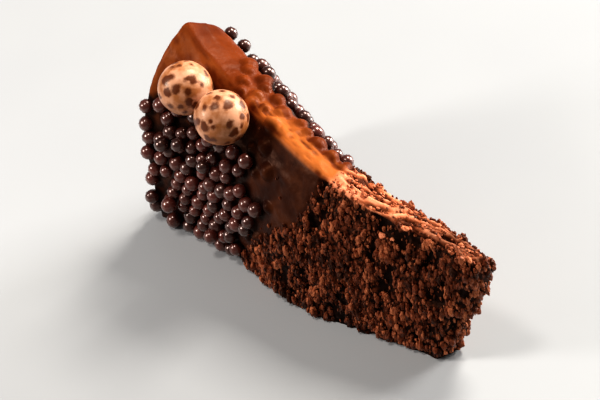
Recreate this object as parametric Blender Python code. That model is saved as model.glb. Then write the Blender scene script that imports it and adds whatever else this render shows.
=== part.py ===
"""A slim wedge of blackout cake, standing on its flat base.

The wedge is broad and tall at its back (+Y) and narrow and low at its tip
(-Y). Its two sides lean in to a narrow ridge, which climbs to a peak over the
back. The tip half wears a coat of coarse cake crumbs. The back half is smooth
icing set with small round crisp pearls on both sides and round the back
corners. Two malt balls sit side by side on the left shoulder, below the peak.

Metres, +Z up. The origin is the middle of the footprint of the whole slice.
"""

import math

import bmesh
import bpy
import numpy as np
from mathutils import Vector

MM = 0.001
SEED = 41

# ---- driving dimensions, in millimetres ---------------------------------------
BACK_Y = 50.0               # the broad back face
TIP_Y = -45.2               # where the base ends under the tip
TIP_OVERHANG = 9.6          # how far the tip's top reaches past its base
OVERHANG_REACH = 36.0       # the stretch next to the tip over which it grows

# Each row is one cross-section: its place along the base, then the left and
# right foot of the section, then its ridge: left edge and height, right edge
# and height.
SECTIONS = np.array([
    # y,     foot_l, foot_r, ridge_l, height_l, ridge_r, height_r
    [50.0,    -22.7,  22.2,   -3.0,    55.4,     6.0,     48.6],
    [41.0,    -18.6,  22.0,   -3.0,    51.0,     6.6,     46.4],
    [30.0,    -15.2,  21.4,   -2.4,    47.2,     6.8,     44.0],
    [14.0,    -13.0,  20.4,   -1.0,    43.4,     7.0,     40.8],
    [-2.0,    -11.4,  20.0,   0.4,     40.4,     8.4,     38.2],
    [-16.0,   -6.6,   19.2,   3.0,     37.4,     11.6,    35.8],
    [-28.0,   -0.4,   17.6,   8.4,     34.8,     15.8,    33.4],
    [-37.0,   4.2,    15.6,   13.6,    32.4,     20.4,    30.6],
    [-45.2,   7.2,    12.6,   17.8,    31.0,     24.0,    27.8],
])
SHOULDER_BACK = 4.0         # the left side stays upright far up, then bends in: at the back
SHOULDER_TIP = 1.3          # and at the tip, where it leans nearly straight
SHOULDER_RIGHT = 1.15       # the right side leans nearly straight all along
RIDGE_CROWN = 0.5           # the ridge's slight arch
BACK_BULGE = 1.8            # the back face swells a little outwards
TIP_BULGE = 0.8             # and so does the end of the tip
BACK_ROUNDING = 1.3         # radius that softens the edges of the back face
TIP_ROUNDING = 1.4          # the same at the tip
END_STEPS = 3               # rings that make each of these roundings

CRUMB_RELIEF = 0.75         # height of the crumb coat's lumps
CRUMB_END_RELIEF = 0.25     # the same on the close rings that round off the tip
CRUMB_EDGE_Y = (-12.0, 14.0)    # where the crumbs begin: at the ridge, at the foot
CRUMB_FADE = 5.0            # over this length the crumbs thin out to bare icing
ICING_RELIEF = 0.12         # the icing's own faint unevenness

PEARL_DIAMETER = 4.1
PEARL_PITCH = 4.5           # from pearl to pearl along a row
PEARL_ROW_GAP = PEARL_PITCH * 0.87      # from row to row, as round things pack
PEARL_PROUD = 0.9           # the pearl's centre stands at least this far off the icing
PEARL_LIFT = 0.6            # and up to this much further
PEARL_SHAKE = 1.9           # how far a pearl strays from its row before they settle
SETTLE_ROUNDS = 40          # times that crowding pearls push each other apart
SETTLE_SHARE = 0.35         # share of the overlap by which each gives way
LEAST_GAP = 0.9             # no two centres are closer than this, in diameters
PEARL_FOOT = PEARL_DIAMETER / 2 + 0.2   # height of the lowest pearls' centres
PEARL_BACK_MARGIN = 1.5     # from the back face to the first pearl on a side
PEARL_SHARES = (0.0, 0.45, 1.0)         # the foot, mid side and ridge
PEARL_EDGE_LEFT = (24.0, 6.5, 18.0)     # where the pearls end at each of these, as Y
PEARL_EDGE_RIGHT = (30.0, 16.0, -8.0)
PEARL_RAGGED = 3.0          # how uneven that edge is
PEARL_TOP_MARGINS = ((3.6, 5.0), (1.4, 6.0))    # bare icing below the ridge: left, right
PEARL_TOPS = (39.5, 50.0)   # and none is higher than this
CORNER_TOP = 35.0           # pearls round the back corners stay below this height
CORNER_DEPTH = 2.4          # and lie up to this far in front of the back face
CORNER_TURNS = (53.0, 10.0)     # degrees each is turned to the back: least deep, deepest
BACK_PEARL_TOP = 14.0       # pearls on the back face stay below this height
BACK_PEARL_MARGIN = 6.5     # and start this far in from its two upright edges
BACK_PEARL_PITCH = 5.0      # from pearl to pearl along a row there
BACK_PEARL_SHAKE = 1.1      # how far they stray from even spacing
BACK_PEARL_NONE = 18.0      # the height at which the rows would have thinned out to nothing
BACK_PEARL_SEAT = 1.8       # how far their centres stand behind the back section
SLOPE = 1.12                # a side is about this much longer than it is tall
UPPER_PEARLS = 16           # pearls lying in a second layer, on the left by the back
UPPER_RISE = 2.6            # how far they lie above the three that carry each
UPPER_FIELD = ((-25.0, 22.0, 5.0), (-8.0, 46.0, 36.0))  # low and high corner of their room
UPPER_GAPS = (0.8, 0.93)    # distance to the nearest pearl below, in diameters
UPPER_APART = 1.3           # and least distance to each other
BALL_CLEARANCE = 0.35       # gap between a malt ball and all that is near it

MALT_BALL_DIAMETER = 14.0
MALT_BALLS = {
    "malt_ball_back": (-12.7, 32.9, 48.1),
    "malt_ball_front": (-10.1, 18.9, 45.8),
}

COLOURS = {
    "cake_slice": ((0.055, 0.020, 0.011), 0.45),
    "malt_ball": ((0.60, 0.38, 0.20), 0.40),
}


# ---- the wedge's form -----------------------------------------------------------
def smooth_table(y):
    """Section sizes at y, by a smooth cubic through the rows of SECTIONS."""
    ys = SECTIONS[::-1, 0]
    values = SECTIONS[::-1, 1:]
    slopes = np.gradient(values, ys, axis=0)
    y = np.clip(np.atleast_1d(y).astype(float), ys[0], ys[-1])
    i = np.clip(np.searchsorted(ys, y, side="right") - 1, 0, len(ys) - 2)
    span = (ys[i + 1] - ys[i])[:, None]
    u = (y - ys[i])[:, None] / span
    return ((2 * u**3 - 3 * u**2 + 1) * values[i] + (u**3 - 2 * u**2 + u) * span * slopes[i]
            + (3 * u**2 - 2 * u**3) * values[i + 1] + (u**3 - u**2) * span * slopes[i + 1])


def tipward(y):
    """0 at the back, 1 at the tip."""
    return np.clip((BACK_Y - np.asarray(y, float)) / (BACK_Y - TIP_Y), 0.0, 1.0)


def overhang(y, height_share):
    """How far a point leans out past the base, towards the tip."""
    grow = np.clip((TIP_Y + OVERHANG_REACH - np.asarray(y, float)) / OVERHANG_REACH, 0.0, 1.0)
    return TIP_OVERHANG * grow**1.5 * height_share


def side_point(y, share, right):
    """A point on a side: share runs from 0 at the foot to 1 at the ridge."""
    foot_l, foot_r, ridge_l, height_l, ridge_r, height_r = smooth_table(y).T
    foot, ridge, height = (foot_r, ridge_r, height_r) if right else (foot_l, ridge_l, height_l)
    bend = SHOULDER_BACK + (SHOULDER_TIP - SHOULDER_BACK) * tipward(y)
    if right:
        bend = SHOULDER_RIGHT
    x = ridge - (ridge - foot) * (1.0 - np.minimum(share, 1.0)**bend)
    return np.stack([x, y - overhang(y, share), share * height], axis=-1)


def ridge_point(y, share):
    """A point on the ridge: share runs from 0 at its left edge to 1 at its right."""
    _, _, ridge_l, height_l, ridge_r, height_r = smooth_table(y).T
    x = ridge_l + (ridge_r - ridge_l) * share
    z = height_l + (height_r - height_l) * share + RIDGE_CROWN * np.sin(math.pi * share)
    return np.stack([x, y - overhang(y, np.ones_like(share)), z], axis=-1)


def section(y, side_steps, ridge_steps, base_steps):
    """One closed ring round the wedge at y, from the left foot over the ridge."""
    up = np.linspace(0.0, 1.0, side_steps)
    up = 1.0 - (1.0 - up)**1.25             # closer points near the shoulder
    over = np.linspace(0.0, 1.0, ridge_steps)[1:-1]
    left = side_point(np.full_like(up, y), up, right=False)
    top = ridge_point(np.full_like(over, y), over)
    right = side_point(np.full_like(up, y), up[::-1], right=True)
    base = np.linspace(right[-1], left[0], base_steps)[1:-1]
    return np.concatenate([left, top, right, base])


def shrunk(ring, inset, push):
    """The ring drawn in by inset and moved along Y by push, its base kept on z = 0."""
    middle = (ring.min(axis=0) + ring.max(axis=0)) / 2
    half = (ring.max(axis=0) - ring.min(axis=0)) / 2
    small = ring.copy()
    small[:, 0] = middle[0] + (ring[:, 0] - middle[0]) * (1 - inset / half[0])
    small[:, 2] = ring[:, 2] * (1 - inset / (2 * half[2]))
    small[:, 1] += push
    return small


def crumb_share(y, z, height):
    """1 where the crumb coat lies, 0 on the smooth icing."""
    ridge_y, foot_y = CRUMB_EDGE_Y
    edge = foot_y + (ridge_y - foot_y) * np.clip(z / height, 0, 1)
    return np.clip((edge - y) / CRUMB_FADE, 0.0, 1.0)


def softened_end(ring, radius, direction):
    """Rings that carry an end section round to its flat end."""
    turns = np.linspace(0.0, math.pi / 2, END_STEPS + 1)[1:]
    return [shrunk(ring, radius * (1 - math.cos(a)), direction * radius * math.sin(a))
            for a in turns]


def wedge_rings():
    """All rings from the back face to the tip, the ends softened."""
    steps = dict(side_steps=14, ridge_steps=4, base_steps=3)
    smooth_ys = np.linspace(BACK_Y - BACK_ROUNDING, CRUMB_EDGE_Y[1], 7)
    crumb_ys = np.linspace(CRUMB_EDGE_Y[1], TIP_Y + TIP_ROUNDING, 22)[1:]
    rings = [section(y, **steps) for y in np.concatenate([smooth_ys, crumb_ys])]
    back = softened_end(rings[0], BACK_ROUNDING, 1)
    tip = softened_end(rings[-1], TIP_ROUNDING, -1)
    return back[::-1] + rings + tip


def add_relief(rings):
    """Lumps over the crumb coat and a faint unevenness on the icing, seeded."""
    draw = np.random.default_rng(SEED)
    points = np.stack(rings)
    along = np.gradient(points, axis=0)
    around = np.roll(points, -1, axis=1) - np.roll(points, 1, axis=1)
    normal = np.cross(around, along)
    normal /= np.linalg.norm(normal, axis=2, keepdims=True)
    outward = points - points.mean(axis=1, keepdims=True)
    normal *= np.sign((normal * outward).sum(axis=2, keepdims=True))
    height = points[:, :, 2].max(axis=1, keepdims=True)
    coat = crumb_share(points[:, :, 1], points[:, :, 2], height)
    lumps = draw.uniform(-1.0, 1.0, coat.shape) * CRUMB_RELIEF
    lumps[-END_STEPS:] *= CRUMB_END_RELIEF / CRUMB_RELIEF
    faint = draw.uniform(-1.0, 1.0, coat.shape) * ICING_RELIEF
    amount = lumps * coat + faint * (1 - coat)
    moved = points + normal * amount[:, :, None]
    on_base = points[:, :, 2] < 0.01
    moved[on_base] = points[on_base]
    return moved


def wedge_mesh():
    """The wedge as one closed mesh of rings, with a fan on each end."""
    points = add_relief(wedge_rings())
    count, around, _ = points.shape
    mesh = bmesh.new()
    rows = [[mesh.verts.new(Vector(p) * MM) for p in ring] for ring in points]
    for row, following in zip(rows, rows[1:]):
        for k in range(around):
            n = (k + 1) % around
            mesh.faces.new((row[k], row[n], following[n], following[k]))
    for ring, row, swell in ((points[0], rows[0], BACK_BULGE), (points[-1], rows[-1], -TIP_BULGE)):
        middle = ring.mean(axis=0)
        middle[1] += swell
        hub = mesh.verts.new(Vector(middle) * MM)
        for k in range(around):
            mesh.faces.new((row[k], row[(k + 1) % around], hub))
    bmesh.ops.recalc_face_normals(mesh, faces=mesh.faces)
    bmesh.ops.triangulate(mesh, faces=mesh.faces)
    return mesh


# ---- the crisp pearls -------------------------------------------------------------
def side_height(y, right):
    """Height of the ridge edge above a side at y."""
    return smooth_table(y)[:, 5 if right else 3]


def outward_normal(y, share, right):
    """Unit normal of a side, from two small steps along it."""
    low, high = np.maximum(share - 0.02, 0), np.minimum(share + 0.02, 1)
    up = side_point(y, high, right) - side_point(y, low, right)
    along = side_point(y + 0.5, share, right) - side_point(y - 0.5, share, right)
    normal = np.cross(along, up) * (1 if right else -1)
    return normal / np.linalg.norm(normal, axis=1, keepdims=True)


def settled(places):
    """Pushes crowding pearls apart on the flat, a little at a time."""
    itself = np.eye(len(places)) * 10 * PEARL_DIAMETER
    for _ in range(SETTLE_ROUNDS):
        apart = places[:, None] - places[None]
        gap = np.linalg.norm(apart, axis=2) + itself
        push = np.maximum(PEARL_DIAMETER - gap, 0.0) / gap * SETTLE_SHARE
        places = places + (apart * push[:, :, None]).sum(axis=1)
        places[:, 1] = np.maximum(places[:, 1], PEARL_FOOT)
    return places


def side_pearls(draw, right):
    """Pearls on one side: rows on the unrolled side, shaken, settled and laid on it."""
    edge = PEARL_EDGE_RIGHT if right else PEARL_EDGE_LEFT
    tallest = SECTIONS[0, 6 if right else 4]
    rows = []
    for row, up in enumerate(np.arange(PEARL_FOOT, tallest * SLOPE, PEARL_ROW_GAP)):
        start = BACK_Y - PEARL_BACK_MARGIN - (row % 2) * PEARL_PITCH / 2
        ys = np.arange(start, min(edge) - PEARL_RAGGED, -PEARL_PITCH)
        rows.append(np.stack([ys, np.full_like(ys, up)], axis=-1))
    places = np.concatenate(rows)
    places = settled(places + draw.uniform(-PEARL_SHAKE, PEARL_SHAKE, places.shape))
    ys = np.minimum(places[:, 0], BACK_Y - PEARL_BACK_MARGIN / 2)
    height = side_height(ys, right)
    shares = places[:, 1] / (height * SLOPE)
    limit = np.interp(shares, PEARL_SHARES, edge)
    limit = limit + draw.uniform(-PEARL_RAGGED, PEARL_RAGGED, ys.shape)
    margin = draw.uniform(*PEARL_TOP_MARGINS[right], ys.shape)
    top = np.minimum(height - margin, PEARL_TOPS[right])
    keep = (ys > limit) & (shares * height < top)
    ys, shares = ys[keep], shares[keep]
    normal = outward_normal(ys, shares, right)
    lift = PEARL_PROUD + draw.uniform(0.0, PEARL_LIFT, ys.shape)
    return side_point(ys, shares, right) + normal * lift[:, None], normal


def corner_pearls(draw, right):
    """Pearls up an upright edge of the back face: the deeper one lies, the further sideways."""
    zs = np.arange(PEARL_FOOT + 1.0, CORNER_TOP, PEARL_PITCH)
    zs = zs + draw.uniform(-PEARL_SHAKE, PEARL_SHAKE, zs.shape)
    depth = draw.uniform(0.0, CORNER_DEPTH, zs.shape)
    ys = BACK_Y - BACK_ROUNDING - depth
    turn = np.radians(np.interp(depth, (0.0, CORNER_DEPTH), CORNER_TURNS))
    normal = np.stack([np.cos(turn) * (1 if right else -1), np.sin(turn), 0 * turn], axis=-1)
    place = side_point(ys, zs / side_height(ys, right), right)
    return place + normal * PEARL_PROUD, normal


def back_pearls(draw):
    """A few rows of pearls low on the back face, thinning out upwards."""
    centres = []
    foot_l, foot_r = SECTIONS[0, 1], SECTIONS[0, 2]
    for z in np.arange(PEARL_FOOT, BACK_PEARL_TOP, PEARL_PITCH):
        xs = np.arange(foot_l + BACK_PEARL_MARGIN, foot_r - BACK_PEARL_MARGIN, BACK_PEARL_PITCH)
        xs = xs + draw.uniform(-BACK_PEARL_SHAKE, BACK_PEARL_SHAKE, xs.shape)
        xs = xs[draw.uniform(0, 1, xs.shape) > z / BACK_PEARL_NONE]
        zs = z + draw.uniform(0.0, BACK_PEARL_SHAKE, xs.shape)
        centres.append(np.stack([xs, np.full_like(xs, BACK_Y + BACK_PEARL_SEAT), zs], axis=-1))
    centres = np.concatenate(centres)
    return centres, np.tile([0.0, 1.0, 0.0], (len(centres), 1))


def clear_of_balls(centres):
    """True for the pearls that stay clear of the malt balls."""
    reach = (MALT_BALL_DIAMETER + PEARL_DIAMETER) / 2 + BALL_CLEARANCE
    places = np.array(list(MALT_BALLS.values()))
    return (np.linalg.norm(centres[:, None] - places[None], axis=2) > reach).all(axis=1)


def kept_apart(centres):
    """Numbers of the pearls that don't run into one placed before them."""
    kept = []
    for number, centre in enumerate(centres):
        if all(np.linalg.norm(centre - centres[k]) > PEARL_DIAMETER * LEAST_GAP for k in kept):
            kept.append(number)
    return kept


def upper_pearls(draw, centres, normals):
    """A few pearls in a second layer, each lying on three of the first."""
    low, high = UPPER_FIELD
    inside = ((centres > low) & (centres < high)).all(axis=1)
    upper = []
    for number in draw.permutation(np.flatnonzero(inside)):
        near = np.argsort(np.linalg.norm(centres - centres[number], axis=1))[:3]
        normal = normals[near].mean(axis=0)
        place = centres[near].mean(axis=0) + normal / np.linalg.norm(normal) * UPPER_RISE
        gap = np.linalg.norm(centres - place, axis=1).min() / PEARL_DIAMETER
        lone = all(np.linalg.norm(place - u) > PEARL_DIAMETER * UPPER_APART for u in upper)
        if lone and UPPER_GAPS[0] < gap < UPPER_GAPS[1]:
            upper.append(place)
        if len(upper) == UPPER_PEARLS:
            break
    return np.array(upper)


def pearl_centres():
    """Every pearl's centre, none of them reaching below the base."""
    draw = np.random.default_rng(SEED + 1)
    groups = [corner_pearls(draw, False), corner_pearls(draw, True),
              side_pearls(draw, False), side_pearls(draw, True), back_pearls(draw)]
    centres, normals = (np.concatenate(group) for group in zip(*groups))
    centres[:, 2] = np.maximum(centres[:, 2], PEARL_DIAMETER / 2 + 0.05)
    keep = kept_apart(centres)
    centres, normals = centres[keep], normals[keep]
    centres = np.concatenate([centres, upper_pearls(draw, centres, normals)])
    return centres[clear_of_balls(centres)]


# ---- objects and materials ----------------------------------------------------------
def clear_scene():
    """Removes whatever the scene holds."""
    for item in list(bpy.data.objects):
        bpy.data.objects.remove(item, do_unlink=True)


def plain_material(name, colour, roughness):
    """A Principled material of one colour."""
    material = bpy.data.materials.new(name)
    material.use_nodes = True
    shader = material.node_tree.nodes["Principled BSDF"]
    shader.inputs["Base Color"].default_value = (*colour, 1.0)
    shader.inputs["Roughness"].default_value = roughness
    shader.inputs["Metallic"].default_value = 0.0
    return material


def make_object(name, mesh, material, collection):
    """A named object from a bmesh, which is freed."""
    data = bpy.data.meshes.new(name)
    mesh.to_mesh(data)
    mesh.free()
    item = bpy.data.objects.new(name, data)
    data.materials.append(material)
    collection.objects.link(item)
    return item


def pearl_mesh(centre):
    """One small round pearl of twenty faces, turned a little by its place."""
    mesh = bmesh.new()
    bmesh.ops.create_icosphere(mesh, subdivisions=1, radius=PEARL_DIAMETER / 2 * 1.04 * MM)
    turn = Vector((math.sin(centre[0]), math.cos(centre[1]), 1.0)).to_track_quat("Z", "Y")
    bmesh.ops.rotate(mesh, cent=(0, 0, 0), matrix=turn.to_matrix(), verts=mesh.verts)
    bmesh.ops.translate(mesh, vec=Vector(centre) * MM, verts=mesh.verts)
    lowest = min(v.co.z for v in mesh.verts)
    bmesh.ops.translate(mesh, vec=(0, 0, max(0.0, 0.00003 - lowest)), verts=mesh.verts)
    return mesh


def fuse(body, collection):
    """Joins every object of the collection to the body by one union."""
    union = body.modifiers.new("pearls", "BOOLEAN")
    union.operation = "UNION"
    union.operand_type = "COLLECTION"
    union.collection = collection
    union.solver = "EXACT"
    bpy.context.view_layer.update()
    depsgraph = bpy.context.evaluated_depsgraph_get()
    fused = bpy.data.meshes.new_from_object(body.evaluated_get(depsgraph))
    body.modifiers.remove(union)
    body.data = fused
    for item in list(collection.objects):
        bpy.data.objects.remove(item, do_unlink=True)
    bpy.data.collections.remove(collection)


def make_cake_slice(scene_collection):
    """The wedge with its crumb coat and the pearls fused on."""
    material = plain_material("chocolate_cake", *COLOURS["cake_slice"])
    body = make_object("cake_slice", wedge_mesh(), material, scene_collection)
    pearls = bpy.data.collections.new("pearls")
    scene_collection.children.link(pearls)
    for number, centre in enumerate(pearl_centres()):
        make_object(f"pearl_{number}", pearl_mesh(centre), material, pearls)
    fuse(body, pearls)
    return body


def make_malt_balls(scene_collection):
    """The two malt balls on the left shoulder."""
    material = plain_material("malt_shell", *COLOURS["malt_ball"])
    for name, place in MALT_BALLS.items():
        mesh = bmesh.new()
        bmesh.ops.create_uvsphere(mesh, u_segments=20, v_segments=12,
                                  radius=MALT_BALL_DIAMETER / 2 * MM)
        bmesh.ops.translate(mesh, vec=Vector(place) * MM, verts=mesh.verts)
        ball = make_object(name, mesh, material, scene_collection)
        ball.data.shade_smooth()


def main():
    clear_scene()
    scene_collection = bpy.context.scene.collection
    make_cake_slice(scene_collection)
    make_malt_balls(scene_collection)


main()
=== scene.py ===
# %% [markdown]
# # A slice of blackout cake
#
# The real thing is a slim wedge of dark chocolate cake, broad and tall at the back and narrow at
# the tip. Smooth icing covers the back half, coarse cake crumbs coat the tip, small crisp pearls
# are pressed into the sides, and two speckled malt balls sit on the left shoulder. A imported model
# holds the plain solids at their real size. This script makes the finished surfaces around them.

# %% Load the solids
import itertools
import math

import bpy
import numpy as np
from mathutils import Matrix, Vector


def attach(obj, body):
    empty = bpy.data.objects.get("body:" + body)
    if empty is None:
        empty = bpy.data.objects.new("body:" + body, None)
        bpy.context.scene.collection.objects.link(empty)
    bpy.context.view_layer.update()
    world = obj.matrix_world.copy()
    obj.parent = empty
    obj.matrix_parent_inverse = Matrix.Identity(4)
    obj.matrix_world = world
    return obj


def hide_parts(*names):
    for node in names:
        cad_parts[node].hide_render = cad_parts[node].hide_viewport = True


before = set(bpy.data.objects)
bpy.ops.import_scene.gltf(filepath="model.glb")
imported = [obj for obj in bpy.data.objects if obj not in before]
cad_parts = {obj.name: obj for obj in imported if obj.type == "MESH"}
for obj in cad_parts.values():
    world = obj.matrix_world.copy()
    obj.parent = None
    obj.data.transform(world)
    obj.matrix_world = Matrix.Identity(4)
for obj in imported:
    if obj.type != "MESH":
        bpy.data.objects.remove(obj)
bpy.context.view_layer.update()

print("solids:", sorted(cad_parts))

# %% [markdown]
# ## The wedge's form
#
# The wedge could be sculpted, but a formula is easier to keep true. A few cross-sections give the
# two feet and the two ridge edges, in millimetres, and a smooth cubic carries each size from one
# section to the next. The solid follows the same sizes, so the fine surface lies where it does.

# %% Cross-sections, in millimetres
MM = 0.001
SEED = 41
BACK_Y = 50.0
TIP_Y = -45.2
TIP_OVERHANG = 9.6
OVERHANG_REACH = 36.0
SECTIONS = np.array([
    # y,     foot_l, foot_r, ridge_l, height_l, ridge_r, height_r
    [50.0,    -22.7,  22.2,   -3.0,    55.4,     6.0,     48.6],
    [41.0,    -18.6,  22.0,   -3.0,    51.0,     6.6,     46.4],
    [30.0,    -15.2,  21.4,   -2.4,    47.2,     6.8,     44.0],
    [14.0,    -13.0,  20.4,   -1.0,    43.4,     7.0,     40.8],
    [-2.0,    -11.4,  20.0,   0.4,     40.4,     8.4,     38.2],
    [-16.0,   -6.6,   19.2,   3.0,     37.4,     11.6,    35.8],
    [-28.0,   -0.4,   17.6,   8.4,     34.8,     15.8,    33.4],
    [-37.0,   4.2,    15.6,   13.6,    32.4,     20.4,    30.6],
    [-45.2,   7.2,    12.6,   17.8,    31.0,     24.0,    27.8],
])
SHOULDER_BACK = 4.0
SHOULDER_TIP = 1.3
SHOULDER_RIGHT = 1.15
RIDGE_CROWN = 0.5
print("sections:", len(SECTIONS), "length:", BACK_Y - TIP_Y, "mm")


# %% Points on the sides and the ridge
def sizes_at(y):
    """The six sizes at each y: between two rows, a cubic that meets each row at the slope
    between that row's neighbours (a Hermite curve)."""
    ys, rows = SECTIONS[::-1, 0], SECTIONS[::-1, 1:]
    slopes = np.gradient(rows, ys, axis=0)
    y = np.clip(y, ys[0], ys[-1])
    i = np.clip(np.searchsorted(ys, y, side="right") - 1, 0, len(ys) - 2)
    span = (ys[i + 1] - ys[i])[..., None]
    u = (y - ys[i])[..., None] / span
    curve = ((2 * u**3 - 3 * u**2 + 1) * rows[i] + (u**3 - 2 * u**2 + u) * span * slopes[i]
             + (3 * u**2 - 2 * u**3) * rows[i + 1] + (u**3 - u**2) * span * slopes[i + 1])
    return np.moveaxis(curve, -1, 0)


def overhang(y, share):
    """The lean of the tip: overhang times the share of the height, growing with the power 1.5
    of the distance into the last stretch."""
    grow = np.clip((TIP_Y + OVERHANG_REACH - y) / OVERHANG_REACH, 0.0, 1.0)
    return TIP_OVERHANG * grow**1.5 * share


def side(y, share, right):
    """A point on a side. Height is share times the ridge's height. Across, the point leaves the
    foot slowly and reaches the ridge fast: foot to ridge times share to the power of the bend."""
    y, share = np.broadcast_arrays(np.asarray(y, float), np.asarray(share, float))
    foot_l, foot_r, ridge_l, height_l, ridge_r, height_r = sizes_at(y)
    foot, edge, height = (foot_r, ridge_r, height_r) if right else (foot_l, ridge_l, height_l)
    tipward = np.clip((BACK_Y - y) / (BACK_Y - TIP_Y), 0.0, 1.0)
    bend = SHOULDER_RIGHT if right else SHOULDER_BACK + (SHOULDER_TIP - SHOULDER_BACK) * tipward
    x = edge - (edge - foot) * (1.0 - share**bend)
    return np.stack([x, y - overhang(y, share), share * height], axis=-1)


def ridge(y, share):
    """A point on the ridge: straight from its left edge to its right, plus half a sine wave."""
    y, share = np.broadcast_arrays(np.asarray(y, float), np.asarray(share, float))
    _, _, ridge_l, height_l, ridge_r, height_r = sizes_at(y)
    x = ridge_l + (ridge_r - ridge_l) * share
    z = height_l + (height_r - height_l) * share + RIDGE_CROWN * np.sin(np.pi * share)
    return np.stack([x, y - overhang(y, 1.0), z], axis=-1)


print("peak:", ridge(BACK_Y, 0.0).round(1), "tip:", ridge(TIP_Y, 1.0).round(1))

# %% [markdown]
# ## Noise that lives in the arrays
#
# Crumbs, smears and uneven pearls need randomness that is the same on each run. Blender has noise
# textures, but a shape that must show in the mesh is better worked out in numpy, for all points
# at once: soft noise for swells, and cell noise for crumbs. A third helper turns a number into a
# share that fades in smoothly between two limits.


# %% Soft noise, cell noise and a smooth step
SCRAMBLE_WEIGHTS = np.array([[127.1, 269.5, 419.2], [311.7, 183.3, 371.9], [74.7, 246.1, 124.6]])
SCRAMBLE_STEP = 17.3
SCRAMBLE_SPREAD = 43758.5453


def scrambled(cells, seed):
    """Three steady random numbers from 0 to 1 for each whole-number cell: what is left after the
    point of a large multiple of the sine of a weighted sum."""
    wave = np.sin(cells @ SCRAMBLE_WEIGHTS + seed * SCRAMBLE_STEP)
    return np.modf(np.abs(wave * SCRAMBLE_SPREAD))[0]


def soft_noise(points, size, seed):
    """Smooth swells from -1 to 1: random numbers on the corners of cells of this size, blended
    along each axis by 3t^2 - 2t^3."""
    scaled = points / size
    home = np.floor(scaled)
    t = scaled - home
    t = t * t * (3 - 2 * t)
    total = np.zeros(points.shape[:-1])
    for corner in itertools.product((0, 1), repeat=3):
        weight = np.prod(np.where(corner, t, 1 - t), axis=-1)
        total += weight * scrambled(home + corner, seed)[..., 0]
    return total * 2 - 1


def cell_noise(points, size, seed):
    """Distance to the nearest of points strewn one to a cell, in cell sizes."""
    scaled = points / size
    home = np.floor(scaled)
    nearest = np.full(points.shape[:-1], np.inf)
    for step in itertools.product((-1, 0, 1), repeat=3):
        spot = scrambled(home + step, seed)
        gap = np.linalg.norm(home + step + spot - scaled, axis=-1)
        nearest = np.minimum(nearest, gap)
    return nearest


def smooth_step(value, low, high):
    """0 at low, 1 at high, and 3t^2 - 2t^3 between. Low may be the larger of the two."""
    t = np.clip((value - low) / (high - low), 0.0, 1.0)
    return t * t * (3 - 2 * t)


sample = np.eye(3) * 7.7
print("soft noise:", soft_noise(sample, 2.0, SEED).round(2),
      "cell noise:", cell_noise(sample, 2.0, SEED).round(2))

# %% [markdown]
# ## From arrays to a mesh
#
# Every piece ends as a list of places and a list of faces. One helper puts them into a mesh in
# metres, others keep numbers on the places for the materials or read the mesh back, and the last
# two close a stack of rings with a pole at each end.


# %% Pieces, their numbers and their places
def mark(item, **numbers):
    """Keeps numbers on the mesh under their titles, one for each place."""
    for title, values in numbers.items():
        item.data.attributes.new(title, "FLOAT", "POINT").data.foreach_set("value", values)


def piece_from(name, places, faces, smooth=True, **numbers):
    """An object at the origin, its places given in millimetres, marked with its numbers."""
    data = bpy.data.meshes.new(name)
    data.from_pydata(places * MM, [], faces)
    if smooth:
        data.shade_smooth()
    item = bpy.data.objects.new(name, data)
    mark(item, **numbers)
    bpy.context.scene.collection.objects.link(item)
    return item


def triples(items, title, kind=float):
    """Three numbers of each item, such as a place's normal, as the rows of one array."""
    values = np.empty(len(items) * 3, dtype=kind)
    items.foreach_get(title, values)
    return values.reshape(-1, 3)


def move_places(item, places):
    """Puts new places, in millimetres, into the mesh."""
    item.data.vertices.foreach_set("co", (places * MM).ravel())
    item.data.update()


print("a millimetre is", MM, "m in a mesh")


# %% Rings closed with poles
def ring_faces(rings, around):
    """Faces of a stack of rings, with a pole before the first ring and one after the last:
    quads from ring to ring, and a fan of triangles round each pole."""
    k = np.arange(around)
    n = (k + 1) % around
    base = 1 + np.arange(rings - 1)[:, None] * around
    quads = np.stack([base + n, base + k, base + around + k, base + around + n], axis=-1)
    last = 1 + (rings - 1) * around
    first_fan = np.stack([np.zeros_like(k), 1 + k, 1 + n], axis=-1)
    last_fan = np.stack([np.full_like(k, last + around), last + n, last + k], axis=-1)
    return quads.reshape(-1, 4).tolist() + first_fan.tolist() + last_fan.tolist()


def with_poles(rings):
    """The rings' places in a row, with the middle of the first and of the last ring as poles."""
    around = rings.shape[1]
    poles = rings[[0, -1]].mean(axis=1)
    places = np.concatenate([poles[:1], rings.reshape(-1, 3), poles[1:]])
    return places, ring_faces(len(rings), around)


print("a stack of 3 rings of 8 places has", len(ring_faces(3, 8)), "faces")

# %% [markdown]
# ## The iced wedge
#
# The real icing is one skin from foot to foot, with a soft edge on either side of the ridge. It
# could be a box that is cut and bevelled, but a closed grid bends more freely: rings along the
# slice, each a row of places round it. Averaging neighbours softens the ridge's edges, a little
# less at the peak, where they are crisper. Each end turns in by a quarter circle and closes on a
# slightly domed face.

# %% Rows round the wedge
SIDE_STEPS, RIDGE_STEPS, BASE_STEPS = 122, 22, 24
SOFTENING = (9, 8)          # times a row is averaged: along the ridge, at the peak
PEAK_RANGE = (12.0, 36.0)   # where the second takes over from the first


def averaged(rows, times):
    """The open rows after this many rounds of a half of each point plus a quarter of each
    neighbour. The ends stay."""
    rows = rows.copy()
    for _ in range(times):
        rows[:, 1:-1] = rows[:, 1:-1] / 2 + (rows[:, :-2] + rows[:, 2:]) / 4
    return rows


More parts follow.
